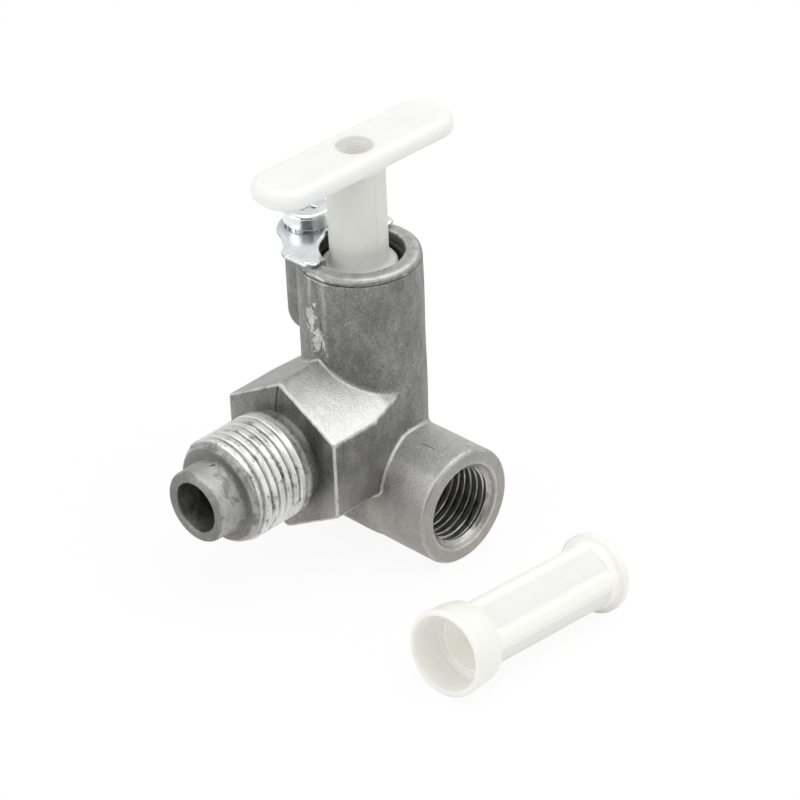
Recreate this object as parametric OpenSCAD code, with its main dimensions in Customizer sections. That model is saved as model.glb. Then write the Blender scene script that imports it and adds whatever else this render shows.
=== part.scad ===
// Fuel tap: a die cast body that screws into a tank, a T-handle with its valve plug,
// a fish-tail plate that holds the plug down, and a push-on strainer that lies beside it.
// Millimetres. +Z runs up the barrel, the inlet points along -Y and the outlet along +X.
// The origin is on the axis of the tank thread, where the thread begins.

/* [Barrel] */
// Outside diameter of the upright barrel
barrel_d = 21.4; // [20.6:0.1:23]
// Height of the rim above the inlet axis
rim_h = 31.4; // [30:0.1:38]
// Diameter of the valve bore
bore_d = 14.5; // [14:0.1:15]
// Diameter of the wider mouth at the top of the bore
mouth_d = 15.5; // [15.2:0.1:16.4]
// Depth of the wider mouth
mouth_depth = 2.1; // [1.6:0.1:2.4]
// Bevel round the outside of the rim
rim_bevel = 0.9; // [0.3:0.1:1.4]

/* [Tank inlet] */
// Major diameter of the tank thread
tank_thread_d = 19.05; // [17:0.05:21]
// Length of the tank thread
tank_thread_len = 12.4; // [10:0.1:18]
// Bevel at the free end of the tank thread
thread_bevel = 1; // [0.4:0.1:1.4]
// Diameter of the relief groove between the thread and the hexagon
relief_d = 17.4; // [16:0.1:18]
// Width of the relief groove
relief_w = 2.95; // [1:0.05:4]
// Diameter of the spigot that carries the strainer
spigot_d = 12.8; // [11:0.1:14]
// Length of the spigot
spigot_len = 5.25; // [3:0.05:6]
// Diameter of the inlet passage
inlet_d = 8.6; // [7:0.1:9]

/* [Hexagon] */
// Width across the flats
hex_af = 25.1; // [23:0.1:27]
// Length over which the hexagon keeps its full width
hex_len = 10.1; // [8:0.1:12]
// Distance from the hexagon's front face to the barrel axis
hex_to_barrel = 20.35; // [18:0.05:24]

/* [Outlet] */
// Depth of the outlet axis below the inlet axis
outlet_drop = 10.8; // [10.7:0.1:12]
// Outside diameter of the outlet
outlet_d = 21.1; // [19:0.1:21.3]
// Reach of the outlet face from the barrel axis
outlet_reach = 22.75; // [20:0.05:28]
// Minor diameter of the outlet thread
outlet_thread_d = 13.2; // [12:0.1:14]
// Depth of the outlet thread from the face
outlet_thread_len = 12; // [9:0.1:13]
// Diameter of the outlet's bevelled mouth
outlet_mouth_d = 15.9; // [14.4:0.1:17]
// Rounding round the outside of the outlet face
outlet_round = 0.8; // [0.3:0.1:1.2]
// Diameter of the drilling between the chamber and the outlet thread
outlet_drill_d = 7.2; // [6:0.1:7.2]

/* [Chamber under the plug] */
// Height of the ledge below the inlet axis
ledge_drop = 7; // [6.8:0.1:7.1]
// Diameter of the chamber
chamber_d = 11.2; // [9:0.1:12]
// Depth of the chamber's floor below the inlet axis
chamber_floor = 16.6; // [15:0.1:17]

/* [Screw boss] */
// Distance of the screw from the barrel axis
screw_offset = 12.1; // [11:0.1:13]
// Diameter of the screw boss
boss_d = 8.4; // [8:0.1:10]
// Straight height of the boss above its round end
boss_h = 15.8; // [12:0.1:18]
// Radius of the fillets between the boss and the barrel
boss_fillet = 2; // [1:0.1:3]

/* [Handle] */
// Height of the T-bar's top above the inlet axis
handle_top = 51.3; // [48:0.1:60]
// Length of the T-bar
bar_len = 40.2; // [34:0.1:48]
// Width of the T-bar
bar_w = 11.1; // [10.6:0.1:14]
// Thickness of the T-bar
bar_t = 3.5; // [3:0.1:5]
// Corner radius of the T-bar, seen from above
bar_corner = 3.4; // [2:0.1:4.5]
// Rounding of the T-bar's top edge
bar_top_round = 1.2; // [0.6:0.1:1.5]
// Rounding of the T-bar's lower edge
bar_low_round = 0.5; // [0.3:0.1:1]
// Turn of the T-bar away from the inlet's direction, clockwise from above
bar_turn = 2; // [0:0.5:6]
// Diameter of the stem
stem_d = 10.06; // [9:0.02:10.4]
// Diameter of the blind hole in the top of the stem
core_d = 6.6; // [5:0.1:7]
// Depth of the blind hole
core_depth = 12; // [6:0.5:16]

/* [Plug] */
// Diameter of the shoulder below the stem
shoulder_d = 13; // [12:0.1:13.6]
// Thickness of the shoulder
shoulder_t = 2.4; // [1.5:0.1:4]
// Radial clearance between plug and bore
plug_clear = 0.07; // [0.04:0.01:0.1]
// Gap under the plug's foot
foot_gap = 0.1; // [0.1:0.05:0.3]
// Diameter of the plug's waist
waist_d = 11.2; // [10:0.1:12.4]
// Diameter of the side port
port_d = 7.8; // [6:0.1:7.8]
// Diameter of the hollow in the plug's lower end
hollow_d = 9; // [7.9:0.1:9]
// Height of the hollow's roof above the inlet axis
hollow_h = 5.5; // [5:0.1:7]
// Width of the stop lug, in degrees
lug_arc = 46; // [30:1:46]
// Middle of the stop lug, in degrees counter-clockwise from the outlet
lug_mid = 135; // [135:1:136]

/* [Seals] */
// Section diameter of the stem O-rings
ring_section = 1.75; // [1.6:0.05:2]
// Height of the lower O-ring above the inlet axis
lower_ring_h = 18.5; // [16:0.1:19]
// Height of the upper O-ring above the inlet axis
upper_ring_h = 22.6; // [22:0.1:24]
// Inner diameter of the shut-off seal's ring
seal_in_d = 9; // [8.8:0.1:9.2]
// Outer diameter of the shut-off seal's ring
seal_out_d = 11.4; // [11:0.1:11.4]
// Depth of the shut-off seal into the plug
seal_depth = 1.4; // [1:0.1:1.6]

/* [Retainer plate] */
// Thickness of the plate
plate_t = 1; // [0.8:0.1:1.5]
// Radius of the plate's inner edge about the barrel axis
plate_in_r = 6.45; // [5.6:0.05:6.7]
// Radius of the plate's rounded end, round the screw
plate_end_r = 6.65; // [6:0.05:7.5]
// Distance of the rounded end's centre from the barrel axis
plate_end_at = 10.15; // [9.6:0.05:10.8]
// Half the span across the fish tail
tail_half = 10.65; // [10:0.05:11.5]
// Reach of the fish tail from the barrel axis towards the screw
tail_back = 8.5; // [7.5:0.1:9.2]
// Distance of the fish tail's ends from the barrel axis
tail_front = 0.95; // [0.8:0.05:2]
// Corner radius of the fish tail
tail_corner = 1.8; // [1:0.1:2.4]
// Radius of the waist between the rounded end and the fish tail
waist_r = 5; // [3:0.1:8]
// Sideways set of the plate towards the tank, within the screw hole's play
plate_shift = 0.15; // [0:0.05:0.2]
// Depth of the two stop tabs below the rim
tab_depth = 1.8; // [1:0.1:1.8]
// Width of the two stop tabs
tab_w = 1.9; // [1.2:0.1:2]

/* [Screw and washer] */
// Diameter of the screw's thread
screw_d = 4; // [3:0.5:4]
// Length of the screw below its head
screw_len = 10; // [8:0.5:13]
// Diameter of the screw's head
head_d = 8; // [7:0.1:8.4]
// Height of the screw's head
head_h = 2.6; // [2:0.1:3.2]
// Diameter over the washer's teeth
washer_d = 8.5; // [8:0.1:9]
// Thickness of the washer
washer_t = 0.4; // [0.3:0.05:0.8]
// Number of teeth on the washer
washer_teeth = 16; // [10:1:20]

/* [Strainer] */
// Place of the strainer's mouth along X
strainer_x = 49.75; // [42:0.05:60]
// Place of the strainer's mouth along Y
strainer_y = -10.95; // [-20:0.05:0]
// Height of the strainer's mouth from the inlet axis
strainer_z = -9.7; // [-15:0.05:0]
// Downward dip of the strainer's axis, in degrees
strainer_dip = 7.8; // [0:0.1:12]
// Turn of the strainer's axis from +Y, in degrees counter-clockwise
strainer_turn = 2.3; // [-20:0.1:20]
// Overall length of the strainer
strainer_len = 39.4; // [34:0.1:48]
// Diameter of the bead round the mouth
bead_d = 15; // [14.4:0.1:16]
// Width of the bead
bead_w = 1.4; // [1:0.1:2]
// Diameter of the strainer's collar behind the bead
strainer_collar_d = 14.7; // [14.2:0.1:15.4]
// Diameter of the collar's shoulder, where it narrows to the ribs
shoulder_end_d = 13.8; // [13.4:0.1:14.2]
// Length over which the collar keeps its diameter
collar_flat = 4; // [2:0.1:5]
// Length of the collar with its bead
strainer_collar_len = 6.9; // [6.4:0.1:9]
// Depth of the socket that takes the spigot
socket_depth = 5.9; // [4.5:0.1:6]
// Running clearance round the spigot
socket_clear = 0.03; // [0.02:0.01:0.08]
// Diameter over the strainer's ribs
rib_d = 11.8; // [11.2:0.1:12.6]
// Width of each rib
rib_w = 2.3; // [1.2:0.1:3]
// Number of ribs
rib_count = 4; // [3:1:6]
// Place of the first rib round the strainer, in degrees
rib_start = 72; // [0:1:90]
// Width of the ring that joins the ribs in front of the end disc
end_ring = 1.6; // [0.8:0.1:3]
// Diameter of the end disc
end_d = 14; // [12:0.1:15]
// Thickness of the end disc
end_t = 1.4; // [1:0.1:3]
// Outside diameter of the gauze tube
gauze_d = 10.7; // [9.6:0.1:10.8]
// Thickness of the gauze
gauze_t = 0.35; // [0.3:0.05:0.6]

/* [Hidden] */
$fn = 96;
CUT = 0.5;
CAST = "darkgray";
WHITE = "white";
ZINC = "silver";
RUBBER = "dimgray";

barrel_r = barrel_d / 2;
barrel_y = relief_w + hex_to_barrel;
shank_end = -tank_thread_len - spigot_len;
outlet_r = outlet_d / 2;
outlet_start = 1;
hex_run_in = 0.5;
fillet_bite = 0.02;
boss_r = boss_d / 2;
boss_end = rim_h - boss_h;
plug_r = bore_d / 2 - plug_clear;
plug_foot = -ledge_drop + foot_gap;
shoulder_top = rim_h - mouth_depth + 0.04;
shoulder_low = shoulder_top - shoulder_t;
stem_r = stem_d / 2;
bar_low = handle_top - bar_t;
land_w = 1.2;
gland_w = ring_section + 0.4;
ring_mid_r = bore_d / 2 - 0.03 - ring_section / 2;
gland_r = ring_mid_r - ring_section / 2;
groove_gap = 0.05;
plug_edge = 0.5;
lug_gap = 0.3;
lug_r = bore_d / 2 - 0.15;
tab_in = stem_r + 0.35;
stop_gap = 0.3;
washer_z = rim_h + plate_t;
head_z = washer_z + washer_t;
screw_play = 0.05;
plate_play = 0.25;
recess = 4.2;
screw_tip_gap = 1.6;
socket_r = spigot_d / 2 + socket_clear;
socket_lead = 0.4;
shoulder_bevel = 0.5;

// A cylinder of radius r along +Y from y0 to y1
module along_y(r, y0, y1)
    translate([0, y0, 0]) rotate([-90, 0, 0]) cylinder(r = r, h = y1 - y0);

// A cylinder of radius r along +X from x0 to x1, at height z
module along_x(r, x0, x1, z)
    translate([x0, 0, z]) rotate([0, 90, 0]) cylinder(r = r, h = x1 - x0);

// Half section of a disc of radius r and height h with both rims rounded
module rounded_half(r, h, top, low) {
    square([r - max(top, low), h]);
    translate([0, low]) square([r, h - top - low]);
    translate([0, h - top - CUT]) square([r - top, top + CUT]);
    square([r - low, low + CUT]);
    translate([r - top, h - top]) circle(r = top);
    translate([r - low, low]) circle(r = low);
}

// Barrel with its bevelled rim, down to the outlet axis
module barrel()
    rotate_extrude() polygon([
        [0, -outlet_drop], [barrel_r, -outlet_drop], [barrel_r, rim_h - rim_bevel],
        [barrel_r - rim_bevel, rim_h], [0, rim_h]]);

// Round-bottomed foot of the barrel, the outlet's form carried back under it
module barrel_foot()
    intersection() {
        along_x(outlet_r, -barrel_d, barrel_d, -outlet_drop);
        translate([0, 0, -outlet_drop - outlet_r - CUT]) cylinder(r = barrel_r, h = outlet_d + CUT);
    }

// Outlet boss with its rounded face edge
module outlet_boss()
    translate([outlet_start, 0, -outlet_drop]) rotate([0, 90, 0]) rotate_extrude() {
        square([outlet_r, outlet_reach - outlet_start - outlet_round]);
        square([outlet_r - outlet_round, outlet_reach - outlet_start]);
        translate([outlet_r - outlet_round, outlet_reach - outlet_start - outlet_round])
            circle(r = outlet_round);
    }

// Hexagon whose sides run in to the barrel behind its full-width length
module hexagon() {
    half = hex_af / 2;
    front = -hex_to_barrel;
    intersection() {
        translate([0, front, 0]) rotate([-90, 0, 0]) rotate([0, 0, 30])
            cylinder(r = half / cos(30), h = hex_to_barrel, $fn = 6);
        translate([0, 0, -hex_af]) linear_extrude(2 * hex_af) polygon([
            [-half - CUT, front], [half + CUT, front], [half, front + hex_len],
            [barrel_r - hex_run_in, 0], [hex_run_in - barrel_r, 0], [-half, front + hex_len]]);
    }
}

// Threaded shank and spigot, plain at the thread's major diameter
module shank()
    rotate([90, 0, 0]) rotate_extrude() polygon([
        [0, -relief_w - CUT], [relief_d / 2, -relief_w - CUT], [relief_d / 2, 0], [tank_thread_d / 2, 0],
        [tank_thread_d / 2, tank_thread_len - thread_bevel],
        [tank_thread_d / 2 - thread_bevel, tank_thread_len], [spigot_d / 2, tank_thread_len],
        [spigot_d / 2, -shank_end], [0, -shank_end]]);

// Centre of the fillet of radius w that touches two circles, on the left (side 1) or right (-1)
function fillet_at(c1, r1, c2, r2, w, side) =
    let (d = norm(c2 - c1), u = (c2 - c1) / d,
         along = ((r1 + w)^2 - (r2 + w)^2 + d^2) / (2 * d))
    c1 + along * u + side * sqrt((r1 + w)^2 - along^2) * [-u.y, u.x];

// What fills the corner between two circles, up to the fillet. The fillet is cut a hair deeper
// than it needs, so that it crosses the two circles and doesn't only touch them.
module web(c1, r1, c2, r2, w, side) {
    f = fillet_at(c1, r1, c2, r2, w, side);
    difference() {
        polygon([c1, f, c2]);
        translate(f) circle(r = w + fillet_bite);
    }
}

// Screw boss with fillets to the barrel and a round lower end
module screw_boss() {
    boss_at = [-screw_offset, 0];
    translate([0, 0, boss_end]) linear_extrude(boss_h) {
        translate(boss_at) circle(r = boss_r);
        for (side = [-1, 1]) web([0, 0], barrel_r, boss_at, boss_r, boss_fillet, side);
    }
    translate([-screw_offset, 0, boss_end]) sphere(r = boss_r);
}

// The die casting: one piece with every bore and passage
module body()
    color(CAST) difference() {
        union() {
            translate([0, barrel_y, 0]) {
                barrel();
                barrel_foot();
                outlet_boss();
                hexagon();
                screw_boss();
            }
            shank();
        }
        translate([0, barrel_y, 0]) {
            translate([0, 0, rim_h - mouth_depth]) cylinder(r = mouth_d / 2, h = mouth_depth + CUT);
            translate([0, 0, -ledge_drop]) cylinder(r = bore_d / 2, h = rim_h + ledge_drop);
            translate([0, 0, -chamber_floor]) cylinder(r = chamber_d / 2, h = chamber_floor);
            along_x(outlet_drill_d / 2, 0, outlet_reach, -outlet_drop);
            along_x(outlet_thread_d / 2, outlet_reach - outlet_thread_len, outlet_reach + CUT, -outlet_drop);
            outlet_mouth();
            translate([-screw_offset, 0, washer_z - screw_len - screw_tip_gap])
                cylinder(r = screw_d / 2 + screw_play, h = screw_len + screw_tip_gap);
        }
        along_y(inlet_d / 2, shank_end - CUT, barrel_y);
    }

// Bevel that leads into the outlet thread
module outlet_mouth() {
    bevel = (outlet_mouth_d - outlet_thread_d) / 2;
    translate([outlet_reach - bevel, 0, -outlet_drop]) rotate([0, 90, 0])
        cylinder(r1 = outlet_thread_d / 2, r2 = outlet_mouth_d / 2 + CUT, h = bevel + CUT);
}

// A sector of a disc from angle a0 to a1
module sector(r, a0, a1) {
    steps = 8;
    intersection() {
        circle(r = r);
        polygon(concat([[0, 0]], [for (i = [0:steps]) let (a = a0 + (a1 - a0) * i / steps)
            2 * r * [cos(a), sin(a)]]));
    }
}

// Stem and plug as turned forms, before the port, the glands and the lug
module plug_blank()
    rotate_extrude() polygon([
        [0, plug_foot], [plug_r - plug_edge, plug_foot], [plug_r, plug_foot + plug_edge],
        [plug_r, ledge_drop], [waist_d / 2, ledge_drop + land_w],
        [waist_d / 2, lower_ring_h - gland_w / 2 - 2 * land_w],
        [plug_r, lower_ring_h - gland_w / 2 - land_w], [plug_r, shoulder_low],
        [shoulder_d / 2, shoulder_low], [shoulder_d / 2, shoulder_top], [stem_r, shoulder_top],
        [stem_r, bar_low + CUT], [0, bar_low + CUT]]);

// Section right across the T-bar, half as wide as stated on each side
module bar_section(half)
    for (side = [0, 1]) mirror([side, 0]) rounded_half(half, bar_t, bar_top_round, bar_low_round);

// T-bar: a slab with rounded corners and rounded top and bottom edges
module t_bar()
    rotate([0, 0, -bar_turn]) translate([0, 0, bar_low]) {
        rotate([90, 0, 0]) linear_extrude(bar_len - 2 * bar_corner, center = true) bar_section(bar_w / 2);
        rotate([90, 0, 90]) linear_extrude(bar_w - 2 * bar_corner, center = true) bar_section(bar_len / 2);
        for (x = [-1, 1], y = [-1, 1])
            translate([x * (bar_w / 2 - bar_corner), y * (bar_len / 2 - bar_corner), 0])
                rotate_extrude() rounded_half(bar_corner, bar_t, bar_top_round, bar_low_round);
    }

// A ring gland round the plug at height z
module gland(z)
    translate([0, 0, z - gland_w / 2]) difference() {
        cylinder(r = plug_r + CUT, h = gland_w);
        translate([0, 0, -CUT]) cylinder(r = gland_r, h = gland_w + 2 * CUT);
    }

// The saddle shaped room of the shut-off seal: a tube across the plug, cut to depth
module seal_room(extra)
    intersection() {
        difference() {
            along_x(seal_out_d / 2 + extra, -bore_d, 0, 0);
            along_x(seal_in_d / 2 - extra, -bore_d - CUT, CUT, 0);
        }
        difference() {
            translate([0, 0, -seal_out_d]) cylinder(r = plug_r + (extra > 0 ? CUT : 0), h = 2 * seal_out_d);
            translate([0, 0, -seal_out_d - CUT])
                cylinder(r = plug_r - seal_depth - extra, h = 2 * seal_out_d + 2 * CUT);
        }
    }

// T-handle, stem, stop lug and plug: one white moulding
module tap_handle()
    color(WHITE) translate([0, barrel_y, 0]) difference() {
        union() {
            plug_blank();
            t_bar();
            translate([0, 0, shoulder_low]) linear_extrude(rim_h - lug_gap - shoulder_low)
                sector(lug_r, lug_mid - lug_arc / 2, lug_mid + lug_arc / 2);
        }
        translate([0, 0, plug_foot - CUT]) cylinder(r = hollow_d / 2, h = hollow_h - plug_foot + CUT);
        along_y(port_d / 2, -bore_d, 0);
        gland(lower_ring_h);
        gland(upper_ring_h);
        seal_room(groove_gap);
        translate([0, 0, handle_top - core_depth]) cylinder(r = core_d / 2, h = core_depth + CUT);
    }

// A stem O-ring at height z
module o_ring(z)
    color(RUBBER) translate([0, barrel_y, z]) rotate_extrude()
        translate([ring_mid_r, 0]) circle(d = ring_section, $fn = 48);

module lower_o_ring() o_ring(lower_ring_h);
module upper_o_ring() o_ring(upper_ring_h);

// Ring that closes the inlet when the plug is turned off
module shut_off_seal()
    color(RUBBER) translate([0, barrel_y, 0]) seal_room(0);

// Outline of the plate: a rounded end round the screw and a fish tail round the stem
module plate_outline() {
    end_at = [-plate_end_at, 0];
    back = -tail_back + tail_corner;
    front = -tail_front - tail_corner;
    side_at = tail_half - tail_corner;
    difference() {
        union() {
            translate(end_at) circle(r = plate_end_r);
            for (side = [-1, 1]) {
                for (x = [back, front]) translate([x, side * side_at]) circle(r = tail_corner);
                web(end_at, plate_end_r, [back, side * side_at], tail_corner, waist_r, side);
            }
            translate([back, -tail_half]) square([front - back, 2 * tail_half]);
            translate([-tail_back, -side_at]) square([tail_back - tail_front, 2 * side_at]);
        }
        translate([0, plate_shift]) circle(r = plate_in_r);
    }
}

// Sheet metal plate that keeps the plug down, with a stop tab bent down at each tail
module retainer_plate()
    color(ZINC) translate([0, barrel_y - plate_shift, rim_h]) {
        linear_extrude(plate_t) difference() {
            plate_outline();
            translate([-screw_offset, 0]) circle(r = screw_d / 2 + plate_play);
        }
        for (side = [-1, 1])
            translate([-tail_front - plate_t, side * (tab_in + tab_w / 2) - tab_w / 2, -tab_depth])
                cube([plate_t, tab_w, tab_depth + plate_t]);
    }

// Toothed washer under the screw's head
module lock_washer()
    color(ZINC) translate([-screw_offset, barrel_y, washer_z]) linear_extrude(washer_t) difference() {
        union() {
            circle(r = washer_d / 2 - 0.7);
            for (i = [0:washer_teeth - 1]) rotate(i * 360 / washer_teeth)
                translate([0, -0.45]) square([washer_d / 2, 0.9]);
        }
        circle(r = screw_d / 2 + 2 * screw_play);
    }

// Pan head screw with a cross recess
module retainer_screw()
    color(ZINC) translate([-screw_offset, barrel_y, head_z]) difference() {
        union() {
            rotate_extrude() rounded_half(head_d / 2, head_h, 1, 0.1);
            translate([0, 0, -screw_len]) cylinder(d = screw_d, h = screw_len + CUT);
        }
        for (turn = [20, 110]) rotate(turn) translate([-recess / 2, -0.4, head_h - 1.2]) cube([recess, 0.8, 1.2 + CUT]);
    }

// Stands what is drawn along +Y where the loose strainer lies
module strainer_place()
    translate([strainer_x, strainer_y, strainer_z]) rotate([-strainer_dip, 0, strainer_turn]) children();

// Outside of the strainer's mouth: bead and collar
module strainer_collar()
    rotate([-90, 0, 0]) rotate_extrude() {
        translate([bead_d / 2 - bead_w / 2, bead_w / 2]) circle(d = bead_w, $fn = 48);
        square([bead_d / 2 - bead_w / 2, bead_w]);
        polygon([
            [0, bead_w / 2], [strainer_collar_d / 2, bead_w / 2], [strainer_collar_d / 2, collar_flat],
            [shoulder_end_d / 2, strainer_collar_len - shoulder_bevel],
            [shoulder_end_d / 2 - shoulder_bevel, strainer_collar_len], [0, strainer_collar_len]]);
    }

// Strainer moulding: collar with its socket, ribs and end disc
module strainer_frame()
    color(WHITE) strainer_place() difference() {
        union() {
            strainer_collar();
            intersection() {
                along_y(rib_d / 2, bead_w, strainer_len - end_t / 2);
                for (i = [0:rib_count - 1]) rotate([0, rib_start + i * 360 / rib_count, 0])
                    translate([0, bead_w, -rib_w / 2]) cube([rib_d, strainer_len, rib_w]);
            }
            along_y(rib_d / 2, strainer_len - end_t - end_ring, strainer_len - end_t / 2);
            along_y(end_d / 2, strainer_len - end_t, strainer_len);
        }
        along_y(gauze_d / 2, bead_w, strainer_len - end_t);
        along_y(socket_r, -CUT, socket_depth);
        rotate([-90, 0, 0])
            cylinder(r1 = socket_r + socket_lead, r2 = socket_r - socket_lead, h = 2 * socket_lead);
    }

// Gauze tube inside the ribs
module strainer_gauze()
    color(WHITE) strainer_place() difference() {
        along_y(gauze_d / 2, socket_depth, strainer_len - end_t);
        along_y(gauze_d / 2 - gauze_t, socket_depth - CUT, strainer_len - end_t + CUT);
    }

body();
tap_handle();
lower_o_ring();
upper_o_ring();
shut_off_seal();
retainer_plate();
lock_washer();
retainer_screw();
strainer_frame();
strainer_gauze();
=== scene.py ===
# %% [markdown]
# # A fuel tap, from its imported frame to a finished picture
# The tap is a small die casting that screws into a fuel tank. A white plastic T-handle turns a
# plug inside it, a zinc plated plate keeps the plug down, and a push-on strainer lies beside it.
# The solids come from CAD, so their places are known. This lesson dresses them: each piece gets
# the rounded edges, threads and surface that the solids leave out.

# %% Load the frame
import math
import bmesh
import bpy
import numpy as np
from mathutils import Matrix, Vector


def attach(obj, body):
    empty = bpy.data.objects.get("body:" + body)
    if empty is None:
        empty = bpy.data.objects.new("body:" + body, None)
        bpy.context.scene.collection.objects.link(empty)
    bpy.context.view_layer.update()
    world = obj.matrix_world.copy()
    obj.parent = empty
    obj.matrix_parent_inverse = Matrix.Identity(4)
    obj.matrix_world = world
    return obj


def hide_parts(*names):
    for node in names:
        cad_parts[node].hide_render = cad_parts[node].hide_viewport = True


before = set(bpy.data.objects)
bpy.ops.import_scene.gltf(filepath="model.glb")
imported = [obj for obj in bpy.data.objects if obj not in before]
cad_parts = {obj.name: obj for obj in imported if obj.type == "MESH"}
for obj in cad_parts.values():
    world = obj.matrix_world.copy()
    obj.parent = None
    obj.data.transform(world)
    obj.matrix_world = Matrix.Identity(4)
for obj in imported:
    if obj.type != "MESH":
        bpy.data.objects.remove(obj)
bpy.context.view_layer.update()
print("nodes:", sorted(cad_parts))

# %% [markdown]
# The camera comes first, because every later choice is judged through it. Its direction, turn
# and distance were worked out from the rims of the round parts: how flat an ellipse a known
# circle makes gives the elevation, and the spread of near and far circles gives the distance.
# A long lens from 0.62 m reproduces them all within a pixel or so.

# %% Camera
scene = bpy.context.scene
MM = 0.001
AXIS_Y = 23.3
PICTURE_PX, SENSOR_MM = 800, 36
TURN, RISE, ROLL = (math.radians(a) for a in (44.84, 32.50, -2.34))
DISTANCE = 0.62473
FOCAL_PX = 3626.9
AIM_RIGHT_PX, AIM_UP_PX = 33.55, 6.67

back = Vector((math.sin(TURN) * math.cos(RISE), -math.cos(TURN) * math.cos(RISE),
               math.sin(RISE)))
level = Vector((math.cos(TURN), math.sin(TURN), 0))
rise = back.cross(level)
right = level * math.cos(ROLL) + rise * math.sin(ROLL)
up = rise * math.cos(ROLL) - level * math.sin(ROLL)

camera = bpy.data.objects.new("camera", bpy.data.cameras.new("camera"))
scene.collection.objects.link(camera)
scene.camera = camera
camera.data.sensor_width = SENSOR_MM
camera.data.lens = FOCAL_PX * SENSOR_MM / PICTURE_PX
place = (Vector((0, AXIS_Y * MM, 0)) + back * DISTANCE
         + right * (AIM_RIGHT_PX * DISTANCE / FOCAL_PX) + up * (AIM_UP_PX * DISTANCE / FOCAL_PX))
camera.matrix_world = (Matrix.Translation(place)
                       @ Matrix((right, up, back)).transposed().to_4x4())
camera.data.clip_start, camera.data.clip_end = 0.05, 5
print("camera at", tuple(round(v, 4) for v in place))

# %% [markdown]
# A finish is a small tree of shader nodes. `Field` wraps one output socket, so that sums and
# products of patterns are written as plain arithmetic, and each operator adds its Math node.

# %% Arithmetic on sockets
class Field:
    def __init__(self, owner, socket):
        self.owner, self.socket = owner, socket

    def math(self, operation, *others):
        return self.owner.node("ShaderNodeMath", dict(enumerate((self, *others))),
                               operation=operation)

    def __add__(self, o): return self.math("ADD", o)
    def __radd__(self, o): return self.math("ADD", o)
    def __sub__(self, o): return self.math("SUBTRACT", o)
    def __mul__(self, o): return self.math("MULTIPLY", o)
    def __rmul__(self, o): return self.math("MULTIPLY", o)
    def __truediv__(self, o): return self.math("DIVIDE", o)
    def __pow__(self, o): return self.math("POWER", o)
    def __neg__(self): return self.math("MULTIPLY", -1.0)

    def __rsub__(self, o):
        return self.owner.node("ShaderNodeMath", {0: o, 1: self}, operation="SUBTRACT")

    def step(self, low, high):
        """0 below low, 1 above high, and smooth between them."""
        return self.owner.node("ShaderNodeMapRange", {0: self, 1: low, 2: high},
                               interpolation_type="SMOOTHSTEP")

    def near(self, value, width, core=0):
        """1 where the field is within core of value, fading to 0 at width away from it."""
        return (self - value).math("ABSOLUTE").step(width, core)


def hypot(a, b):
    """The length of a line whose two sides are the fields a and b."""
    return ((a ** 2) + (b ** 2)) ** 0.5


# %% [markdown]
# `Nodes` makes every other node through one method that takes its type, its settings, and the
# values or links of its sockets.

# %% Node trees
class Nodes:
    def __init__(self, tree):
        self.tree = tree
        tree.nodes.clear()

    def put(self, socket, value):
        if isinstance(value, Field):
            value = value.socket
        if isinstance(value, bpy.types.NodeSocket):
            self.tree.links.new(value, socket)
        elif hasattr(socket.default_value, "__len__") and len(socket.default_value) == 4:
            socket.default_value = (*value[:3], 1)
        else:
            socket.default_value = value

    def node(self, kind, inputs=(), whole=False, **settings):
        made = self.tree.nodes.new(kind)
        for name, value in settings.items():
            if name == "stops":
                self._stops(made.color_ramp, value)
            else:
                setattr(made, name, value)
        for key, value in dict(inputs).items():
            self.put(made.inputs[key], value)
        return made if whole else Field(self, made.outputs[0])

    def _stops(self, ramp, stops):
        while len(ramp.elements) < len(stops):
            ramp.elements.new(1)
        for element, (at, colour) in zip(ramp.elements, stops):
            element.position = at
            element.color = (*colour, 1)


# %% [markdown]
# `Finish` is the tree of a material, with the patterns that all finishes share: noise of a size
# in millimetres, sharp ridges, and straight marks.

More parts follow.
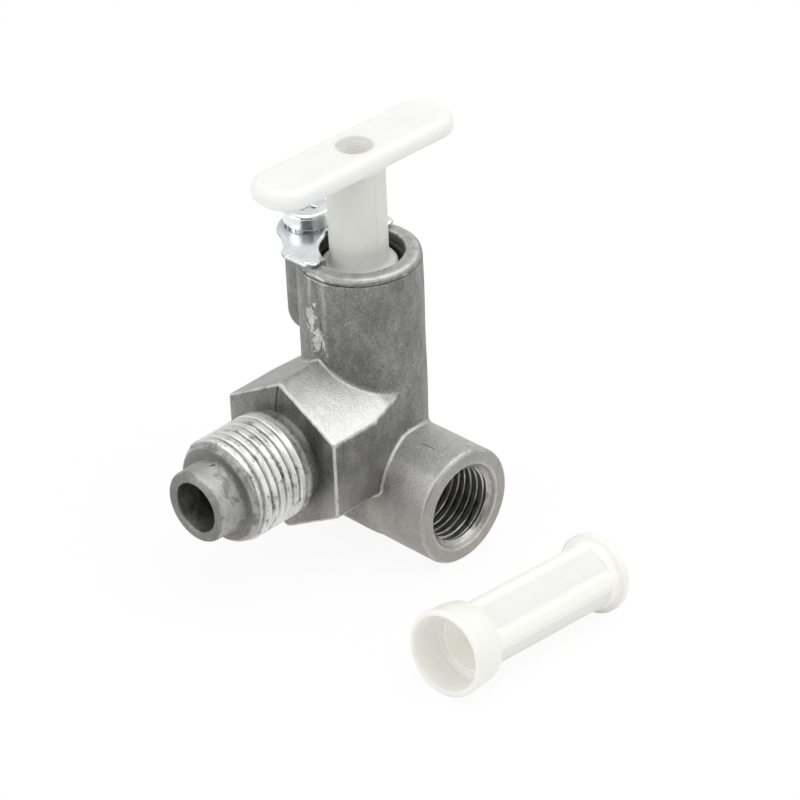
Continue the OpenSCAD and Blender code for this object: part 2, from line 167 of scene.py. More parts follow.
# %% Finishes
class Finish(Nodes):
    def __init__(self, name, **shader):
        self.material = bpy.data.materials.new(name)
        self.material.use_nodes = True
        super().__init__(self.material.node_tree)
        self.shader = self.node("ShaderNodeBsdfPrincipled", whole=True)
        self.output = self.node("ShaderNodeOutputMaterial", {0: self.shader.outputs[0]},
                                whole=True)
        self.look(**shader)
        coordinates = self.node("ShaderNodeTexCoord", whole=True).outputs
        self.up = self.axes(coordinates["Normal"])[2]
        self.mm = self.node("ShaderNodeVectorMath", {0: coordinates["Object"], "Scale": 1 / MM},
                            operation="SCALE").socket
        self.x, self.y, self.z = self.axes(self.mm)

    def axes(self, place):
        parts = self.node("ShaderNodeSeparateXYZ", {0: place}, whole=True).outputs
        return [Field(self, part) for part in parts]

    def look(self, **sockets):
        """Sets sockets of the shader, each named with _ for a space."""
        for name, value in sockets.items():
            self.put(self.shader.inputs[name.replace("_", " ")], value)

    def noise(self, size, detail=3, rough=0.55, stretch=(1, 1, 1), centre=(0, 0, 0)):
        """Cloudy noise whose blobs are about size millimetres across, stretched along each axis."""
        at = self.node("ShaderNodeMapping", {
            "Vector": self.mm, "Location": centre, "Scale": [1 / (size * s) for s in stretch]})
        return self.node("ShaderNodeTexNoise", {"Vector": at, "Scale": 1.0, "Detail": detail,
                                                "Roughness": rough})

    def ridge(self):
        """The bend of the surface that a moulded piece carries in its own attribute."""
        return Field(self, self.node("ShaderNodeAttribute", whole=True, attribute_name="ridge",
                                     attribute_type="GEOMETRY").outputs["Fac"])

    def line(self, start, end, width):
        """1 on the straight line between two points, fading out at the stated width from it."""
        start, end = Vector(start), Vector(end)
        way, half = (end - start).normalized(), (end - start).length / 2
        from_middle = self.node("ShaderNodeVectorMath", {0: self.mm, 1: (start + end) / 2},
                                operation="SUBTRACT")
        along = Field(self, self.node("ShaderNodeVectorMath", {0: from_middle, 1: way}, whole=True,
                                      operation="DOT_PRODUCT").outputs["Value"])
        far = Field(self, self.node("ShaderNodeVectorMath", {0: from_middle}, whole=True,
                                    operation="LENGTH").outputs["Value"])
        across = ((far ** 2) - (along ** 2)).math("MAXIMUM", 0.0) ** 0.5
        return across.step(width, width * 0.3) * along.math("ABSOLUTE").step(half, half - width)

    def mix(self, amount, first, second):
        made = self.node("ShaderNodeMix", {0: amount, 6: first, 7: second}, whole=True,
                         data_type="RGBA")
        return made.outputs[2]

    def ramp(self, field, *stops):
        return self.node("ShaderNodeValToRGB", {0: field}, stops=stops).socket

    def bump(self, height, distance_mm):
        self.look(Normal=self.node("ShaderNodeBump", {
            "Height": height, "Distance": distance_mm * MM, "Strength": 1.0}))


# %% [markdown]
# The casting, the handle, the plate and the screw are all soft edged: their corners are rounded
# and their joints are filleted, as a mould or a punch leaves them. Bevelling a boolean mesh gives
# that only patchily. A distance field gives it everywhere: a function says how far a point is
# outside the piece, two forms are joined with a rounded corner by one line of arithmetic, and a
# net of quads is pulled on to the surface where the distance is nought.

# %% Distance fields: joining and cutting with rounded corners
def join(a, b, r):
    """Both forms, with a concave fillet of radius r where they meet."""
    return np.maximum(r, np.minimum(a, b)) - np.hypot(np.maximum(r - a, 0), np.maximum(r - b, 0))


def both(a, b, r=0.0):
    """Where both forms are, with a rounding of radius r on the edge between them."""
    return np.minimum(-r, np.maximum(a, b)) + np.hypot(np.maximum(r + a, 0), np.maximum(r + b, 0))


def cut(a, b, r=0.0):
    """The first form without the second, with a rounded edge."""
    return both(a, -b, r)


def rounded_box(u, v, half_u, half_v, r):
    """Distance to a rectangle with corners of radius r, in a plane."""
    du, dv = np.abs(u) - half_u + r, np.abs(v) - half_v + r
    return np.minimum(np.maximum(du, dv), 0) + np.hypot(np.maximum(du, 0), np.maximum(dv, 0)) - r


def ease(low, high, value):
    """0 at low, 1 at high, and smooth between them."""
    t = np.clip((value - low) / (high - low), 0, 1)
    return t * t * (3 - 2 * t)


# %% [markdown]
# The surface is looked for on a grid. Each cell that it passes through gets one vertex, at the
# mean of the places where it crosses the cell's edges, and each crossed edge gets one quad
# between the four cells round it. Then the vertices are pulled on to the surface exactly.

# %% Distance fields: a net of quads on the surface
CORNERS = [(i, j, k) for i in (0, 1) for j in (0, 1) for k in (0, 1)]
EDGES = [(a, a | bit) for bit in (1, 2, 4) for a in range(8) if not a & bit]


def slopes(field, p, h=0.02):
    """Gradient of the field at the points p, by small steps each way."""
    steps = np.eye(3) * h
    return np.stack([field(*(p + s).T) - field(*(p - s).T) for s in steps], 1) / (2 * h)


def net(field, low, high, step):
    """Vertices, quads and vertex normals of the surface where field is nought."""
    axes = [np.arange(a, b + step, step) for a, b in zip(low, high)]
    x, y, z = np.meshgrid(*axes, indexing="ij", sparse=True)
    value = np.broadcast_to(field(x, y, z), [len(a) for a in axes])
    across, deep, tall = (n - 1 for n in value.shape)
    corner = [value[i:across + i, j:deep + j, k:tall + k] for i, j, k in CORNERS]
    inside = sum((c < 0).astype(np.int8) for c in corner)
    cell = np.argwhere((inside > 0) & (inside < 8))
    number = np.full(inside.shape, -1, np.int32)
    number[tuple(cell.T)] = np.arange(len(cell))
    v8 = np.stack([c[tuple(cell.T)] for c in corner], 1)
    place8 = np.array(CORNERS, float)
    total, count = np.zeros((len(cell), 3)), np.zeros(len(cell))
    for a, b in EDGES:
        crossed = (v8[:, a] < 0) != (v8[:, b] < 0)
        t = np.where(crossed, v8[:, a] / np.where(crossed, v8[:, a] - v8[:, b], 1), 0)
        meeting = place8[a] + t[:, None] * (place8[b] - place8[a])
        total += np.where(crossed[:, None], meeting, 0)
        count += crossed
    points = np.array(low) + (cell + total / count[:, None]) * step
    for _ in range(3):
        g = slopes(field, points)
        move = field(*points.T)[:, None] * g / np.maximum((g * g).sum(1), 1e-6)[:, None]
        points -= np.clip(move, -step / 2, step / 2)
    quads = []
    for axis in range(3):
        below = np.moveaxis(value, axis, 0)
        change = (below[:-1] < 0) != (below[1:] < 0)
        i, j, k = np.nonzero(change[:, 1:-1, 1:-1])
        j, k = j + 1, k + 1
        n = np.moveaxis(number, axis, 0)
        quad = np.stack([n[i, j - 1, k - 1], n[i, j, k - 1], n[i, j, k], n[i, j - 1, k]], 1)
        leaves = (below[:-1] < 0)[i, j, k]
        turn = leaves if axis != 1 else ~leaves
        quads.append(np.where(turn[:, None], quad, quad[:, ::-1]))
    quads = np.concatenate(quads)
    g = slopes(field, points)
    return points, quads, g / np.linalg.norm(g, axis=1)[:, None]


def link(name, mesh):
    piece = bpy.data.objects.new(name, mesh)
    scene.collection.objects.link(piece)
    return piece


def bend(field, p, h=0.25):
    """How sharply the surface bends at the points p: above 0 on ridges, below 0 in corners."""
    around = sum(field(*(p + s).T) + field(*(p - s).T) for s in np.eye(3) * h)
    return (around - 6 * field(*p.T)) / (h * h)


def moulded(name, field, low, high, step, finish):
    """A smooth piece from a distance field in millimetres, placed in metres."""
    points, quads, normals = net(field, low, high, step)
    mesh = bpy.data.meshes.new(name)
    mesh.from_pydata((points * MM).tolist(), [], quads.tolist())
    mesh.polygons.foreach_set("use_smooth", [True] * len(quads))
    mesh.normals_split_custom_set_from_vertices(normals.tolist())
    ridge = mesh.attributes.new("ridge", "FLOAT", "POINT")
    ridge.data.foreach_set("value", bend(field, points).astype(np.float32))
    mesh.materials.append(finish.material)
    print(f"{name}: {len(quads)} quads")
    return link(name, mesh)


# %% [markdown]
# The casting is one form: the barrel, the outlet that crosses its foot, the hexagon whose sides
# run in to the barrel, and the screw boss. Die casting leaves a soft edge on the hexagon and a
# small fillet wherever two forms meet. The metal's skin isn't quite flat either, so a shallow
# ripple is added to the field: it bends the reflections the way real cast walls do.

# %% The casting's form
BARREL_R, RIM_Z, OUTLET_Z, OUTLET_R, OUTLET_X = 10.7, 31.4, -10.8, 10.55, 22.75
HEX_HALF, HEX_FRONT, HEX_LEN, HEX_TAPER = 12.55, -20.35, 10.1, 0.23
BOSS_X, BOSS_R, BOSS_Z = -12.1, 4.2, 15.6
BORE_R, LEDGE_Z, CHAMBER_R, CHAMBER_Z = 7.25, -7, 5.6, -16.6
STOP_MOUTH_R, STOP_MOUTH_Z, INLET_R, DRILL_R = 7.75, 29.3, 4.32, 3.6
THREAD_HOLE_R, THREAD_HOLE_END, LEAD_R = 7.25, 10.75, 7.95
SCREW_HOLE_R, SCREW_HOLE_Z = 2.05, 20.8
COS_45, COS_30 = 0.7071, 0.8660254


def ripple(x, y, z, size, depth):
    """Shallow waves that don't repeat to the eye, about size millimetres apart."""
    a = np.sin(x / size + 1.3 * np.sin(y / size * 0.7) + 0.4)
    b = np.sin(y / size * 1.1 + 1.1 * np.sin(z / size * 0.8) + 2.0)
    c = np.sin(z / size * 0.9 + 1.2 * np.sin(x / size * 0.6) + 4.0)
    return depth * (a * b + b * c + c * a) / 2


def hexagon(x, y, z):
    half_x = HEX_HALF - np.maximum(y - HEX_FRONT - HEX_LEN, 0) * HEX_TAPER
    flats = both(np.abs(x) - half_x, np.abs(x * 0.5 + z * COS_30) - HEX_HALF, 0.4)
    flats = both(flats, np.abs(x * 0.5 - z * COS_30) - HEX_HALF, 0.4)
    return both(both(flats, HEX_FRONT - y, 0.4), y + 1, 0.3)


def casting(x, y, z):
    y = y - AXIS_Y
    r = np.hypot(x, y)
    q = np.hypot(y, z - OUTLET_Z)
    foot = q - BARREL_R + 0.15 * ease(0, 3, OUTLET_Z - z)
    vault = np.where(z > OUTLET_Z, np.abs(y) - BARREL_R, foot)
    barrel = both(r - BARREL_R, vault, 0.2)
    barrel = both(barrel, z - RIM_Z, 0.1 + 1.15 * ease(-10, -7.5, x))
    barrel = barrel + 0.08 * ease(0.2, 0.08, np.abs(z - 30.2)) * ease(-8, -5, x)
    outlet = both(both(q - OUTLET_R, x - OUTLET_X, 0.8), -x, 0.1)
    boss = np.where(z > BOSS_Z, np.hypot(x - BOSS_X, y),
                    np.hypot(np.hypot(x - BOSS_X, y), z - BOSS_Z)) - BOSS_R
    form = join(barrel, outlet, 0.55)
    form = join(form, hexagon(x, y, z), 0.6)
    form = join(form, boss, 2.0) + ripple(x, y, z, 2.3, 0.035)
    form = both(form, z - RIM_Z, 0.08)
    form = cut(form, both(r - BORE_R, LEDGE_Z - z), 0.12)
    form = cut(form, both(r - STOP_MOUTH_R, STOP_MOUTH_Z - z), 0.12)
    form = cut(form, both(r - CHAMBER_R, both(CHAMBER_Z - z, z)), 0.1)
    form = cut(form, both(np.hypot(x, z) - INLET_R, y), 0.1)
    form = cut(form, both(q - DRILL_R, -x), 0.1)
    form = cut(form, both(q - THREAD_HOLE_R, both(THREAD_HOLE_END - x, x - 21.9)), 0.05)
    form = cut(form, both((q - x + OUTLET_X - LEAD_R) * COS_45, 20.9 - x), 0.1)
    hole = both(np.hypot(x - BOSS_X, y) - SCREW_HOLE_R, SCREW_HOLE_Z - z)
    return cut(form, hole, 0.1)


# %% [markdown]
# The cast skin is a mottled, matte grey. Four patterns make it: broad clouds from the way the
# metal flowed, long smears, a fine grain and dark pits. The faces that a tool has cut (the rim
# and the outlet's face) are brighter. The outlet is a lighter grey, and faces that look up are
# painted lighter, as painted light from above, the hexagon's upper flat most. The tank end is
# smudged where the thread's die ran, and the flat ring of its end face is painted dark, as
# painted shade.

# %% The casting's finish: colour
cast = Finish("die_cast_skin", Metallic=1.0)
flow = cast.noise(6, 4, 0.6, (1, 1, 1.6))
smear = cast.noise(2.0, 5, 0.7, (1, 1, 1.8), (7, 3, 1))
grain = cast.noise(0.42, 3, 0.65)
speck = cast.noise(0.2, 2, 0.6)
barrel_r = hypot(cast.x, cast.y - AXIS_Y)
shank_r = hypot(cast.x, cast.z)
outlet_q = hypot(cast.y - AXIS_Y, cast.z - OUTLET_Z)
rim_face = cast.z.step(30.7, 31.2) * barrel_r.step(11.0, 10.8)
outlet_face = cast.x.step(22.0, 22.6)
turned_face = rim_face.math("MAXIMUM", outlet_face)
tone = flow * 0.24 + smear * 0.26 + grain * 0.26 + speck * 0.24
skin = cast.ramp(tone, (0.39, (0.135, 0.135, 0.132)), (0.5, (0.24, 0.24, 0.236)),
                 (0.60, (0.39, 0.39, 0.386)))
pits = speck.step(0.62, 0.72) * smear.step(0.42, 0.6)
flecks = cast.noise(0.3, 2, 0.7, (1, 1, 1), (4, 9, 2)).step(0.66, 0.74)
skin = cast.mix(pits * 0.5, skin, (0.07, 0.07, 0.068))
skin = cast.mix(flecks * 0.35, skin, (0.42, 0.42, 0.415))
bright = cast.ramp(smear * 0.6 + grain * 0.4, (0.35, (0.34, 0.34, 0.335)),
                   (0.65, (0.56, 0.56, 0.555)))
skin = cast.mix(rim_face * 0.75 + outlet_face * 0.4, skin, bright)
# The outlet is a lighter grey, and lighter still where it faces up: that part is painted light from
# above.
on_outlet = cast.x.step(8, 12) * cast.z.step(2, -3)
skin = cast.mix(on_outlet * (cast.up.step(0.1, 0.9) * 0.3 + 0.4), skin, (0.46, 0.46, 0.455))
# Faces that look up are painted lighter as painted light from above, the hexagon's upper right flat
# most as a painted highlight.
top_painted_light = cast.up.step(0.3, 0.9) * (1 - turned_face) * cast.y.step(1.5, 2.5)
hex_top_painted_highlight = top_painted_light * cast.x.step(0.2, 0.9) * cast.y.step(AXIS_Y - 5, AXIS_Y - 7)
skin = cast.mix(top_painted_light * 0.36 + hex_top_painted_highlight * (cast.x.step(1, 7) * 0.4 + 0.24), skin, cast.ramp(
    grain * 0.6 + smear * 0.4, (0.3, (0.58, 0.58, 0.575)), (0.65, (0.88, 0.88, 0.875))))
on_shank = cast.y.step(0.9, 0.4) * shank_r.step(7.3, 7.7)
smudge = cast.noise(2.6, 5, 0.75, (1, 1, 1), (3, 8, 6)).step(0.47, 0.62)
skin = cast.mix(on_shank * 0.8, skin, cast.mix(smudge, (0.48, 0.48, 0.475), (0.20, 0.20, 0.196)))
on_spigot = cast.y.step(-12.5, -12.8) * cast.y.step(-17.6, -17.3)
skin = cast.mix(on_spigot * 0.8, skin, cast.mix(smudge, (0.48, 0.48, 0.475), (0.23, 0.23, 0.226)))
# The flat ring of the end face is painted dark as painted shade at the spigot's foot.
on_end = cast.y.step(-12.2, -12.36) * cast.y.step(-12.7, -12.5) * shank_r.step(6.75, 7.0)
skin = cast.mix(on_end * 0.8, skin, (0.19, 0.19, 0.187))

# %% [markdown]
# Then come the marks of its life. Ridges are painted bright, partly as wear and partly as painted
# highlight, and the fillets in the corners are painted pale, as painted highlight. A rough scar on
# the front of the barrel is where the gate was broken off, so it is bright, uneven and sharply
# edged. Single scratches are straight lines between two places. The bores are painted dark, as
# painted shade, and the lower half is tinted yellowish.

# %% The casting's finish: wear, scar, bores and painted light
# Ridges painted bright: partly wear, partly painted highlight.
edge_wear_and_highlight = cast.ridge().step(0.9, 1.9) * (smear.step(0.36, 0.6) * 0.6 + 0.4)
# The concave fillets are painted pale as a painted highlight.
corner = cast.ridge().step(-0.9, -1.7) * (1 - cast.x.step(18, 20))
skin = cast.mix(edge_wear_and_highlight * 0.7, skin, (0.72, 0.72, 0.71))
skin = cast.mix(corner * 0.7, skin, (0.62, 0.62, 0.61))
wobble = cast.noise(1.1, 6, 0.75, (1, 1, 1.4), (2, 2, 5))


def flake(x, z, half_x, half_z):
    """How far a point of the barrel's front is from a broken patch, 1 on its rough outline."""
    return hypot((cast.x - x) / half_x, (cast.z - z) / half_z)


scar = flake(-1.5, 21.8, 1.3, 2.6).math("MINIMUM", flake(0.2, 18.4, 1.7, 2.8))
scar = scar.math("MINIMUM", flake(-0.5, 25.1, 0.6, 1.0)) + (wobble - 0.5) * 4.4
on_wall = barrel_r.step(10.3, 10.5) * barrel_r.step(11.1, 10.9)
on_front = cast.y.step(AXIS_Y - 9.0, AXIS_Y - 9.6) * on_wall
scar_edge = scar.near(1.02, 0.1) * on_front
scar = scar.step(1.02, 0.9) * on_front
skin = cast.mix(scar * 0.85, skin, cast.ramp(
    wobble * 0.5 + grain * 0.5, (0.38, (0.40, 0.40, 0.40)), (0.54, (0.80, 0.80, 0.79))))
skin = cast.mix(scar_edge * 0.7, skin, (0.06, 0.06, 0.06))
scrapes = sum(cast.line((x, AXIS_Y - y, z), (x + dx, AXIS_Y - y + dy, z + 0.9), 0.11)
              for x, y, z, dx, dy in (
                  (5.2, 9.35, 22.6, 0.4, 0.25), (5.75, 9.02, 22.9, 0.4, 0.25),
                  (10.5, 2.0, 17.0, 0.05, 0.3), (10.6, -1.4, 13.6, 0.05, 0.3)))
skin = cast.mix(scrapes * 0.6, skin, (0.66, 0.66, 0.65))
crack = cast.line((-0.13, 2.95, 13.9), (-1.28, 2.95, 7.6), 0.22)
scratch = cast.line((14.41, AXIS_Y - 1.85, -0.41), (18.74, AXIS_Y - 1.51, -0.36), 0.14)
scar_foot = cast.line((-0.9, AXIS_Y - 10.68, 30.2), (0.9, AXIS_Y - 10.68, 25.6), 0.13)
scar_side = cast.line((0.6, AXIS_Y - 10.68, 23.7), (0.87, AXIS_Y - 10.66, 20.6), 0.12)
scar_tail = cast.line((1.15, AXIS_Y - 10.64, 19.9), (0.35, AXIS_Y - 10.7, 15.6), 0.14)
spigot_nick = cast.line((0.6, -12.9, 6.62), (0.2, -13.9, 6.62), 0.2)
broken = smear.step(0.46, 0.54)
marks = crack + scratch * broken * 0.8 + (scar_foot + scar_side + scar_tail) * broken + spigot_nick
rim_line = (cast.z - 30.2 - (smear - 0.5) * 0.25).near(0, 0.13, 0.04)
rim_line = rim_line * barrel_r.step(10.4, 10.6) * cast.x.step(-7, -5) * smear.step(0.36, 0.5)
skin = cast.mix((marks + rim_line * 0.8).math("MINIMUM", 1.0) * 0.85, skin, (0.03, 0.03, 0.03))
# The bores and the barrel's inner wall are painted dark as painted shade.
in_bore = shank_r.step(4.5, 4.36) * cast.y.step(AXIS_Y + 1, AXIS_Y - 1) * barrel_r.step(4, 5)
in_barrel = barrel_r.step(7.95, 7.8) * cast.z.step(30.6, 29.0)
bore_painted_shade = in_bore.math("MAXIMUM", in_barrel)
skin = cast.mix(bore_painted_shade * 0.88, skin, (0.06, 0.06, 0.056))
# The lower half is tinted yellowish, more towards the bottom.
yellow_towards_bottom = cast.z.step(4, -14) * 0.7
skin = cast.node("ShaderNodeMix", {0: yellow_towards_bottom, 6: skin, 7: (1.0, 0.97, 0.87)}, whole=True,
                 data_type="RGBA", blend_type="MULTIPLY").outputs[2]
cast.look(Base_Color=skin, Roughness=0.38 + smear * 0.2 - edge_wear_and_highlight * 0.08)
rings = (outlet_q * 11).math("SINE") * outlet_face
cast.bump(grain * 0.6 + speck * 0.45 + smear * 0.6 - pits * 0.5 + rings * 0.06 + scar * 0.8
          + wobble * scar * 1.5 - marks * 1.2 - rim_line, 0.12)

body = moulded("casting", casting, (-17, 2, -22), (23.5, 34.6, 32), 0.35, cast)
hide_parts("body")
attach(body, "tap_body")

# %% [markdown]
# The tank end is turned on a lathe, so its section is all there is to draw: a closed line of
# radius and height, spun round the axis. The small roundings on the edges are points of that
# line too. The same helper makes the wall of the outlet's threaded hole.

# %% Turned forms
def turned(name, profile, base, axis, finish, columns=128):
    """A ring-shaped piece from (radius, height) points, spun round axis through base."""
    out = Vector(axis)
    side = out.orthogonal().normalized()
    other = out.cross(side)
    verts, faces = [], []
    for r, h in profile:
        for j in range(columns):
            a = j * 2 * math.pi / columns
            ray = side * math.cos(a) + other * math.sin(a)
            verts.append((Vector(base) + out * h + ray * r) * MM)
    for i in range(len(profile)):
        n = (i + 1) % len(profile)
        for j in range(columns):
            k = (j + 1) % columns
            faces.append((i * columns + j, i * columns + k, n * columns + k, n * columns + j))
    mesh = bpy.data.meshes.new(name)
    mesh.from_pydata(verts, [], faces)
    mesh.materials.append(finish.material)
    face_outwards(mesh, sharp_degrees=32)
    print(f"{name}: {len(faces)} quads")
    return link(name, mesh)


def face_outwards(mesh, sharp_degrees):
    """Merges doubled vertices, turns the faces outwards and keeps sharp edges sharp."""
    b = bmesh.new()
    b.from_mesh(mesh)
    bmesh.ops.remove_doubles(b, verts=b.verts, dist=0.0005 * MM)
    bmesh.ops.recalc_face_normals(b, faces=b.faces)
    b.to_mesh(mesh)
    b.free()
    mesh.polygons.foreach_set("use_smooth", [True] * len(mesh.polygons))
    mesh.set_sharp_from_angle(angle=math.radians(sharp_degrees))


shank_profile = [
    (4.45, 5.0), (8.6, 5.0), (8.6, 0.95), (9.2, 0.86), (9.42, 0.7), (9.47, 0.5), (9.47, 0.0),
    (9.3, -0.2), (8.97, -0.45), (8.97, -11.7), (8.8, -11.95), (8.55, -12.15), (8.4, -12.3),
    (8.2, -12.39), (8.0, -12.42), (6.9, -12.42), (6.72, -12.52), (6.62, -12.8), (6.55, -14.0),
    (6.42, -15.4), (6.46, -15.9), (6.46, -16.8), (6.38, -17.2), (6.22, -17.45), (6.0, -17.6),
    (5.8, -17.65), (5.0, -17.65), (4.75, -17.6), (4.55, -17.45), (4.45, -17.15)]
shank = turned("tank_end", shank_profile, (0, 0, 0), (0, 1, 0), cast)
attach(shank, "tap_body")

sleeve_profile = [(7.22, 0.74), (6.7, 1.26), (6.7, 1.36), (7.14, 1.6), (7.14, 12.0), (7.45, 12.0),
                  (7.45, 0.74)]

# %% [markdown]
# A thread is a ridge that climbs a cylinder, one pitch for each turn. Geometry Nodes make it as
# it is thought of: a spiral, and a profile swept along it. `Tree` starts a tree whose sizes are
# named inputs, and its `bake` runs it and leaves a plain mesh.

# %% Geometry Nodes helpers
class Tree(Nodes):
    def __init__(self, name, **sizes):
        super().__init__(bpy.data.node_groups.new(name, "GeometryNodeTree"))
        self.sizes, sockets = sizes, self.tree.interface
        for label, value in sizes.items():
            kind = "NodeSocketInt" if isinstance(value, int) else "NodeSocketFloat"
            sockets.new_socket(label, in_out="INPUT", socket_type=kind)
        sockets.new_socket("Geometry", in_out="OUTPUT", socket_type="NodeSocketGeometry")
        self.inputs = self.node("NodeGroupInput", whole=True).outputs
        self.result = self.node("NodeGroupOutput", whole=True).inputs[0]

    def size(self, label):
        return Field(self, self.inputs[label])

    def vector(self, x, y, z=0.0):
        return self.node("ShaderNodeCombineXYZ", {0: x, 1: y, 2: z})

    def bake(self, name, geometry, finish):
        """Ends the tree, runs it once and leaves a plain mesh with no modifier."""
        real = self.node("GeometryNodeRealizeInstances", {0: geometry})
        self.put(self.result, self.node("GeometryNodeSetMaterial", {
            "Geometry": real, "Material": finish.material}))
        maker = link(name + "_maker", bpy.data.meshes.new(name + "_maker"))
        modifier = maker.modifiers.new("nodes", "NODES")
        modifier.node_group = self.tree
        for item in self.tree.interface.items_tree:
            if item.in_out == "INPUT":
                modifier[item.identifier] = self.sizes[item.name]
        ready = maker.evaluated_get(bpy.context.evaluated_depsgraph_get())
        mesh = bpy.data.meshes.new_from_object(ready)
        bpy.data.objects.remove(maker)
        mesh.name = name
        face_outwards(mesh, sharp_degrees=30)
        print(f"{name}: {len(mesh.polygons)} faces")
        return link(name, mesh)


# %% [markdown]
# One tree makes both threads: the sign of its depth says whether the ridge stands outwards or
# inwards. The profile's scale is faded at both ends, which sinks the ridge into the shank where
# the tool ran out.

# %% Thread tree
def thread(name, radius, depth, pitch, length, base, turn, finish):
    """A helical ridge of the stated depth, standing on a cylinder of the stated radius."""
    t = Tree(name + "_tree", Radius=radius * MM, Depth=depth * MM, Pitch=pitch * MM,
             Length=length * MM)
    turns = t.size("Length") / t.size("Pitch")
    spiral = t.node("GeometryNodeCurveSpiral", {
        "Resolution": 96, "Rotations": turns, "Start Radius": t.size("Radius"),
        "End Radius": t.size("Radius"), "Height": t.size("Length"), "Reverse": False})
    upright = t.node("GeometryNodeSetCurveNormal", {"Curve": spiral}, mode="Z_UP")
    along = t.node("GeometryNodeSplineParameter")
    near_end = along.math("MINIMUM", 1.0 - along) * turns
    fade = t.node("ShaderNodeMapRange", {0: near_end, 1: 0.0, 2: 0.6, 3: 0.04, 4: 1.0})
    foot, crest = t.size("Pitch") * 0.49, t.size("Pitch") * 0.27
    low, high = t.size("Depth") * 0.08, -t.size("Depth")
    section = t.node("GeometryNodeCurvePrimitiveQuadrilateral", {
        "Point 1": t.vector(low, foot), "Point 2": t.vector(high, crest),
        "Point 3": t.vector(high, -crest), "Point 4": t.vector(low, -foot)}, mode="POINTS")
    ridge = t.node("GeometryNodeCurveToMesh", {"Curve": upright, "Profile Curve": section,
                                               "Scale": fade, "Fill Caps": True})
    placed = t.node("GeometryNodeTransform", {
        "Geometry": ridge, "Translation": [v * MM for v in base],
        "Rotation": [math.radians(a) for a in turn]})
    return t.bake(name, placed, finish)


# %% [markdown]
# The cut threads are the brightest metal on the tap. A die has scraped the casting's skin away
# there, and fine lines run round with the cut. The crests are painted bright and the roots dark,
# as painted highlight and painted shade.

# %% Cut metal and the two threads
def cut_metal(name, distance, along, around, crest, root, bright, dark, lead):
    f = Finish(name, Metallic=1.0)
    q = distance(f)
    lines = f.noise(0.4, 4, 0.7, around)
    worn = f.noise(1.6, 4, 0.7)
    smudge = f.noise(3.2, 5, 0.75, (1, 1, 1), (5, 2, 9)).step(0.46, 0.60)
    shorter = [v / 2.5 if v > 1 else 1 for v in around]
    streaks = f.noise(0.7, 4, 0.7, shorter, (1, 4, 3)).step(0.47, 0.60)
    # Crests painted bright and roots dark: painted highlight and painted shade.
    height = q.step(root, crest) if root < crest else 1 - q.step(crest, root)
    height = height.math("MAXIMUM", along(f).step(*lead) * (0.25 + worn * 0.6))
    tone = f.mix(height, dark, bright)
    tone = f.mix(lines.step(0.42, 0.62) * 0.5, tone, [v * 0.62 for v in bright])
    f.look(Base_Color=f.mix(smudge * streaks * 0.85, tone, (0.12, 0.12, 0.117)),
           Roughness=0.24 + worn * 0.22)
    f.bump(lines * 1.0 + (along(f) * 24).math("SINE") * 0.1, 0.06)
    return f


tank_cut = cut_metal(
    "cut_tank_thread", lambda f: hypot(f.x, f.z), lambda f: f.y, (14, 1, 14),
    crest=9.42, root=9.0, bright=(0.78, 0.78, 0.775), dark=(0.44, 0.44, 0.435), lead=(5, 6))
outlet_cut = cut_metal(
    "cut_outlet_thread", lambda f: hypot(f.y - AXIS_Y, f.z - OUTLET_Z), lambda f: f.x, (1, 14, 14),
    crest=6.7, root=7.0, bright=(0.66, 0.66, 0.65), dark=(0.30, 0.30, 0.295), lead=(20.5, 21.3))
tank_thread = thread("tank_thread", radius=8.95, depth=0.57, pitch=1.5875, length=11.5,
                     base=(0, 0.1, 0), turn=(90, 0, 0), finish=tank_cut)
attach(tank_thread, "tap_body")
sleeve = turned("outlet_thread_wall", sleeve_profile, (OUTLET_X, AXIS_Y, OUTLET_Z), (-1, 0, 0),
                outlet_cut)
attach(sleeve, "tap_body")
outlet_thread = thread("outlet_thread", radius=7.16, depth=-0.52, pitch=1.411, length=10.8,
                       base=(OUTLET_X - 1.4, AXIS_Y, OUTLET_Z), turn=(0, -90, 0),
                       finish=outlet_cut)
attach(outlet_thread, "tap_body")
for piece in (tank_thread, outlet_thread):
    points = np.array([v.co for v in piece.data.vertices]) / MM
    print(piece.name, "from", points.min(0).round(2), "to", points.max(0).round(2))

# %% [markdown]
# The handle, its stem and the plug are one moulding in white acetal. Its edges are broadly
# rounded, so the bar reads as soft. The stem has the mould's parting lines down it, a small
# fillet under the bar, and a deep hole down its middle that keeps the wall thin enough to cool
# without sinking. The hidden plug keeps the CAD's lands, glands, port and seal room.

# %% The handle and plug
HANDLE_TOP, BAR_T, BAR_TURN, STEM_R = 51.3, 3.5, math.radians(-2), 5.03
FLANGE_R, FLANGE_TOP, FLANGE_FOOT = 6.5, 29.34, 26.94
PLUG_R, PLUG_FOOT, WAIST_R, WAIST_FOOT, WAIST_TOP = 7.18, -6.9, 5.6, 8.2, 16.2


def saddle(x, y, z, extra):
    """Room for the saddle shaped seal, with a little extra all round."""
    q, r = np.hypot(y, z), np.hypot(x, y)
    ring = both(both(q - 5.7 - extra, 4.5 - extra - q), x)
    return both(ring, 7.11 - 1.4 - extra - r)


